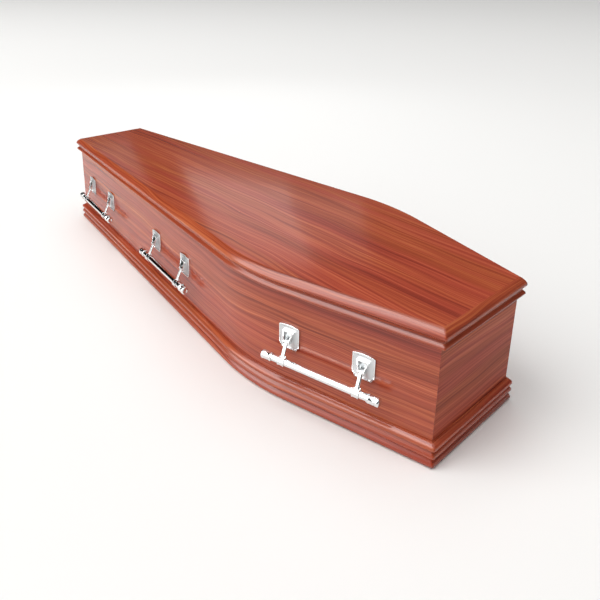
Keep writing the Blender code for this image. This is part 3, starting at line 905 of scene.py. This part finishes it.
grub_profile = [
    (-GRUB_DEPTH, 0.0),
    (-GRUB_DEPTH, GRUB_FOOT_RADIUS),
    (-GRUB_DEPTH + GRUB_ARRIS, GRUB_RADIUS),
    (GRUB_ARRIS, GRUB_RADIUS),
    (GRUB_TIP, GRUB_TIP_RADIUS),
    (GRUB_TIP, 0.0),
]
grub_height = -bar_drop + COLLAR_RADIUS + GRUB_PROUD
grub_centre = (-collar_end + GRUB_ARRIS, bar_out - GRUB_INWARDS, grub_height)
grub = turned(grub_profile, sides=16, centre=grub_centre)
arm_mesh = cast(joined([eye, shank, collar, grub]), "handle_arm_cast", smooth_angle=38)
for (side, spot), seat in seats.items():
    pivot = seat @ Matrix.Translation((0, PIVOT_REACH, -PIVOT_DROP))
    for number, end in ((1, -1), (2, 1)):
        node = f"{side}_{spot}_handle_arm_{number}"
        there = pivot @ Matrix.Translation((end * half_span, 0, 0))
        put(f"{node}_cast", arm_mesh, there, f"{side}_{spot}_handle", node)

# Handle bars
# Thin steel tube, polished and chromed to a mirror, pushed through the collars of both arms. A cap
# closes each end.
BAR_OVERHANG = 0.0290
BAR_ARRIS = 0.0005
LINE_SPACING = 0.002
LINE_LENGTH = 0.05
bar_half = half_span + BAR_OVERHANG

# Chromed tube: its polishing lines run round it, finer in fact than the 2 mm drawn here
bar_chrome, tree, shader = finish("chromed_tube", Metallic=1.0, Roughness=0.045)
shader.inputs["Base Color"].default_value = linear("#EAECEC")
place_on = add(tree, "TexCoord").outputs["Object"]
line_scale = (1 / LINE_SPACING, 1 / LINE_LENGTH, 1 / LINE_LENGTH)
round_it = add(tree, "Mapping", {"Vector": place_on, "Scale": line_scale})
lines = add(tree, "TexNoise", {"Vector": round_it.outputs[0], "Detail": 2.0}).outputs[0]
sheen = add(tree, "MapRange", {"Value": lines, 1: 0.3, 2: 0.7, 3: 0.03, 4: 0.075}).outputs[0]
tree.links.new(sheen, shader.inputs["Roughness"])
bar_shape = turned([
    (-bar_half, 0.0), (-bar_half, BAR_RADIUS - BAR_ARRIS), (-bar_half + BAR_ARRIS, BAR_RADIUS),
    (bar_half - BAR_ARRIS, BAR_RADIUS), (bar_half, BAR_RADIUS - BAR_ARRIS), (bar_half, 0.0),
], sides=64)
bar_mesh = cast(bar_shape, "handle_bar_tube")
bar_mesh.materials[0] = bar_chrome
for (side, spot), seat in seats.items():
    pivot = seat @ Matrix.Translation((0, PIVOT_REACH + bar_out, -PIVOT_DROP - bar_drop))
    node = f"{side}_{spot}_handle_bar"
    put(f"{node}_tube", bar_mesh, pivot, f"{side}_{spot}_handle", node)

# Handle end caps
# Turned and chromed knobs driven on the ends of each bar: a short neck, a stout body with one fine
# groove near its end, and a face with a rounded edge and a shallow dish.
CAP_LENGTH = 0.0332
CAP_NECK_LENGTH = 0.0020
CAP_NECK_RADIUS = 0.0106
CAP_RADIUS = 0.0119
CAP_EDGE_RADIUS = 0.0050
CAP_EDGE_STEPS = 6
CAP_BEAD_STARTS = (0.0003, 0.0012)  # from the neck: the bead's foot, and where it is full
CAP_BEAD_ENDS = (0.0045, 0.0055)  # from the neck: where it falls away, and where the waist begins
CAP_BEAD_FOOT_DEPTH = 0.0008
CAP_WAIST_DEPTH = 0.0007
CAP_WAIST_END_DEPTH = 0.0003
CAP_GROOVE_FROM_END = 0.0115
CAP_GROOVE_HALVES = (0.0005, 0.0012)  # half its width at the bottom, and at the top
CAP_GROOVE_DEPTH = 0.0011
CAP_DISH_EDGE = 0.0012
CAP_DISH_EDGE_DEPTH = 0.0008
CAP_DISH_DEPTH = 0.0010

groove_at = CAP_LENGTH - CAP_GROOVE_FROM_END
groove_bottom, groove_top = CAP_GROOVE_HALVES
bead_foot, bead_full = CAP_BEAD_STARTS
bead_fall, waist_start = CAP_BEAD_ENDS
cap_profile = [
    (0.0, 0.0),
    (0.0, CAP_NECK_RADIUS),
    (CAP_NECK_LENGTH, CAP_NECK_RADIUS),
    (CAP_NECK_LENGTH + bead_foot, CAP_RADIUS - CAP_BEAD_FOOT_DEPTH),
    (CAP_NECK_LENGTH + bead_full, CAP_RADIUS),
    (CAP_NECK_LENGTH + bead_fall, CAP_RADIUS),
    (CAP_NECK_LENGTH + waist_start, CAP_RADIUS - CAP_WAIST_DEPTH),
    (groove_at - groove_top, CAP_RADIUS - CAP_WAIST_END_DEPTH),
    (groove_at - groove_bottom, CAP_RADIUS - CAP_GROOVE_DEPTH),
    (groove_at + groove_bottom, CAP_RADIUS - CAP_GROOVE_DEPTH),
    (groove_at + groove_top, CAP_RADIUS),
]
for step in range(CAP_EDGE_STEPS + 1):
    turn = math.pi / 2 * step / CAP_EDGE_STEPS
    x = CAP_LENGTH - CAP_EDGE_RADIUS * (1 - math.sin(turn))
    cap_profile.append((x, CAP_RADIUS - CAP_EDGE_RADIUS * (1 - math.cos(turn))))
dish_radius = CAP_RADIUS - CAP_EDGE_RADIUS - CAP_DISH_EDGE
cap_profile += [(CAP_LENGTH - CAP_DISH_EDGE_DEPTH, dish_radius), (CAP_LENGTH - CAP_DISH_DEPTH, 0.0)]
cap_mesh = cast(turned(cap_profile), "handle_cap_turned", smooth_angle=42)
for (side, spot), seat in seats.items():
    for number, end in ((1, -1), (2, 1)):
        node = f"{side}_{spot}_handle_cap_{number}"
        x = end * (bar_half + TOUCH)
        there = seat @ Matrix.Translation((x, PIVOT_REACH + bar_out, -PIVOT_DROP - bar_drop))
        if end < 0:
            there = there @ Matrix.Rotation(math.pi, 4, "Z")
        put(f"{node}_turned", cap_mesh, there, f"{side}_{spot}_handle", node)

# Studio
# A plain pale floor, one large soft light high on the near side, and dim panels beyond the far side
# whose reflections lie on the lid, in a dim room with a white ceiling. The camera stands where the
# photograph was taken.
FLOOR_SIZE = 300
CAMERA_PLACE = Vector((1.5371, -1.1801, 1.1080))
CAMERA_YAW = 2.3808
CAMERA_PITCH = 0.2971
CAMERA_ROLL = 0.0231
LENS_MM = 36.0
SENSOR_MM = 36.0
LENS_SHIFT = -0.25  # the photograph was cut out and centred again
NEAR_SIDE = Vector((0.4, -0.25, 0.3))
ROOM_STRENGTH = 1.75

bpy.ops.mesh.primitive_plane_add(size=FLOOR_SIZE, location=(0, 0, 0))
floor = bpy.context.object
floor.name = "studio_floor"
pale_floor, tree, shader = finish("pale_floor", Roughness=0.9)
shader.inputs["Base Color"].default_value = linear("#F6F5F3")
floor.data.materials.append(pale_floor)
floor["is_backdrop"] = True

# What shines in the lid is what the camera's mirror image, below the lid, would see straight on
lid_mirror = Vector((CAMERA_PLACE.x, CAMERA_PLACE.y, 2 * lid_top - CAMERA_PLACE.z))


def heading(azimuth, elevation):
    """The way to a place in the room, from angles in degrees."""
    a, e = math.radians(azimuth), math.radians(elevation)
    return Vector((math.cos(e) * math.cos(a), math.cos(e) * math.sin(a), math.sin(e)))


def soft_light(name, place, aim, size, radiance):
    """A white rectangular light, as bright as a wall of this radiance."""
    lamp = bpy.data.lights.new(name, "AREA")
    lamp.shape = "RECTANGLE"
    lamp.size, lamp.size_y = size
    lamp.energy = radiance * math.pi * size[0] * size[1]
    made = bpy.data.objects.new(name, lamp)
    bpy.context.scene.collection.objects.link(made)
    made.location = place
    made.rotation_euler = (Vector(aim) - Vector(place)).to_track_quat("-Z", "Y").to_euler()
    made.visible_camera = False
    return made


def lid_panel(name, azimuths, elevations, radiance, far=6.0):
    """A light that shines in the lid between these angles of the mirrored view."""
    middle = heading(sum(azimuths) / 2, sum(elevations) / 2)
    wide = 2 * far * math.tan(math.radians(abs(azimuths[1] - azimuths[0]) / 2))
    high = 2 * far * math.tan(math.radians((elevations[1] - elevations[0]) / 2))
    return soft_light(name, lid_mirror + middle * far, lid_mirror, (wide, high), radiance)


def panel_over(name, azimuth, elevation, half_width, half_height, radiance, far=20.0):
    """A light over the box's near side that fills this many degrees either way."""
    wide = 2 * far * math.tan(math.radians(half_width))
    high = 2 * far * math.tan(math.radians(half_height))
    place = NEAR_SIDE + heading(azimuth, elevation) * far
    return soft_light(name, place, NEAR_SIDE, (wide, high), radiance)


panel_over("key", 238, 42, 20, 34, 2.9)
# It lights nothing directly, and only brightens the highlight on the edges that mirror the key
shine = panel_over("shine", 248, 38, 27, 37, 2.6, far=19.0)
shine.visible_diffuse = False
lid_panel("glare", (147.5, 137.0), (17.5, 33.0), 1.0)
lid_panel("glare_edge", (137.0, 129.0), (17.5, 30.0), 0.4)
lid_panel("foot_glare", (166.0, 153.0), (13.0, 19.0), 0.35)

# A white ceiling over a dim room, so the foil keeps its depth. Towards the foot, where the bars
# mirror it, the room is dark
world = bpy.data.worlds.new("studio")
bpy.context.scene.world = world
world.use_nodes = True
air = world.node_tree
around = add(air, "TexCoord").outputs["Generated"]
height = add(air, "SeparateXYZ", {"Vector": around}).outputs["Z"]
ceiling = add(air, "ValToRGB", {"Fac": height}, stops=[(0.68, 0.04), (0.92, 1.0)]).outputs[0]
dark_way = heading(190.0, 27.0)
nearness = add(air, "VectorMath", {0: around, 1: dark_way}, operation="DOT_PRODUCT").outputs["Value"]
shade = add(air, "ValToRGB", {"Fac": nearness}, stops=[(0.70, "#FFFFFF"), (0.90, "#26363E")]).outputs[0]
room = add(air, "Mix", {0: 1.0, 6: ceiling, 7: shade}, data_type="RGBA", blend_type="MULTIPLY")
air.links.new(room.outputs[2], air.nodes["Background"].inputs["Color"])
air.nodes["Background"].inputs["Strength"].default_value = ROOM_STRENGTH

level = Vector((math.cos(CAMERA_YAW), math.sin(CAMERA_YAW), 0))
look = level * math.cos(CAMERA_PITCH) - Vector((0, 0, math.sin(CAMERA_PITCH)))
right = look.cross(Vector((0, 0, 1))).normalized()
up = right.cross(look)
right, up = (
    right * math.cos(CAMERA_ROLL) + up * math.sin(CAMERA_ROLL),
    up * math.cos(CAMERA_ROLL) - right * math.sin(CAMERA_ROLL),
)
lens = bpy.data.cameras.new("camera")
lens.lens = LENS_MM
lens.sensor_width = SENSOR_MM
lens.shift_y = LENS_SHIFT
camera = bpy.data.objects.new("camera", lens)
bpy.context.scene.collection.objects.link(camera)
camera.matrix_world = Matrix((right, up, -look)).transposed().to_4x4()
camera.location = CAMERA_PLACE
bpy.context.scene.camera = camera
bpy.context.scene.view_settings.view_transform = "Standard"

[[list(corner) for corner in box] for box in (cad_box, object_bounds())]
